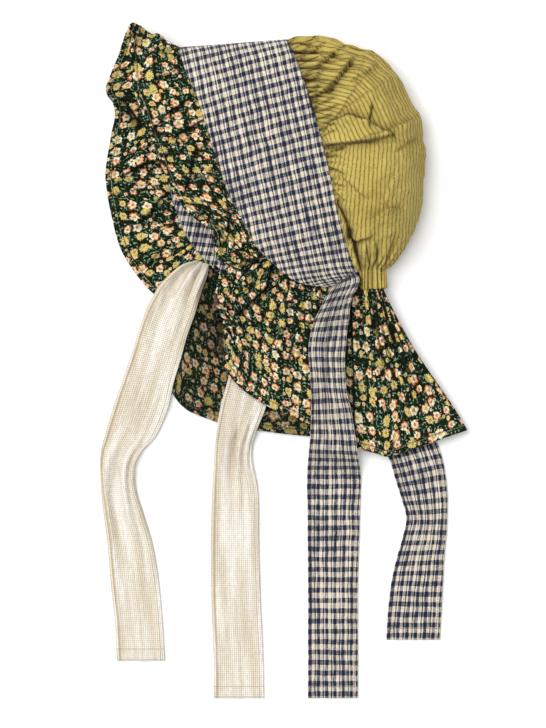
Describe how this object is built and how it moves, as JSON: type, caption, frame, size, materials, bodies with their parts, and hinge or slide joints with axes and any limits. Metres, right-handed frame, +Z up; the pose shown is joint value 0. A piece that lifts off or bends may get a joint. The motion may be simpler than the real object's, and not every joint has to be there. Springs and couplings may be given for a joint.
{
  "type": "frill hat",
  "caption": "Child's gathered cloth sunbonnet with a plaid brim, flowered front frill and neck curtain, striped crown and long ties, lying on its side.",
  "frame": {"origin": "on the surface it lies on, under the middle of its box", "axes": "+Z up from the surface it lies on, +Y from the tie ends to the top of the head, -X to the mouth"},
  "size_m": [0.295, 0.54, 0.0615],
  "materials": {
    "plaid_cotton": "matt woven cotton, blue and cream plaid",
    "flowered_cotton": "matt cotton, small flowers on dark green",
    "striped_cotton": "matt olive cotton with fine dark stripes",
    "cream_crepe": "matt cream crepe cotton"
  },
  "bodies": {
    "root": {"brim": "plaid_cotton", "front_frill": "flowered_cotton", "neck_curtain": "flowered_cotton", "crown": "striped_cotton", "chin_tie_right": "cream_crepe", "chin_tie_left": "cream_crepe", "neck_tie_left": "plaid_cotton", "neck_tie_right": "plaid_cotton"}
  },
  "joints": []
}
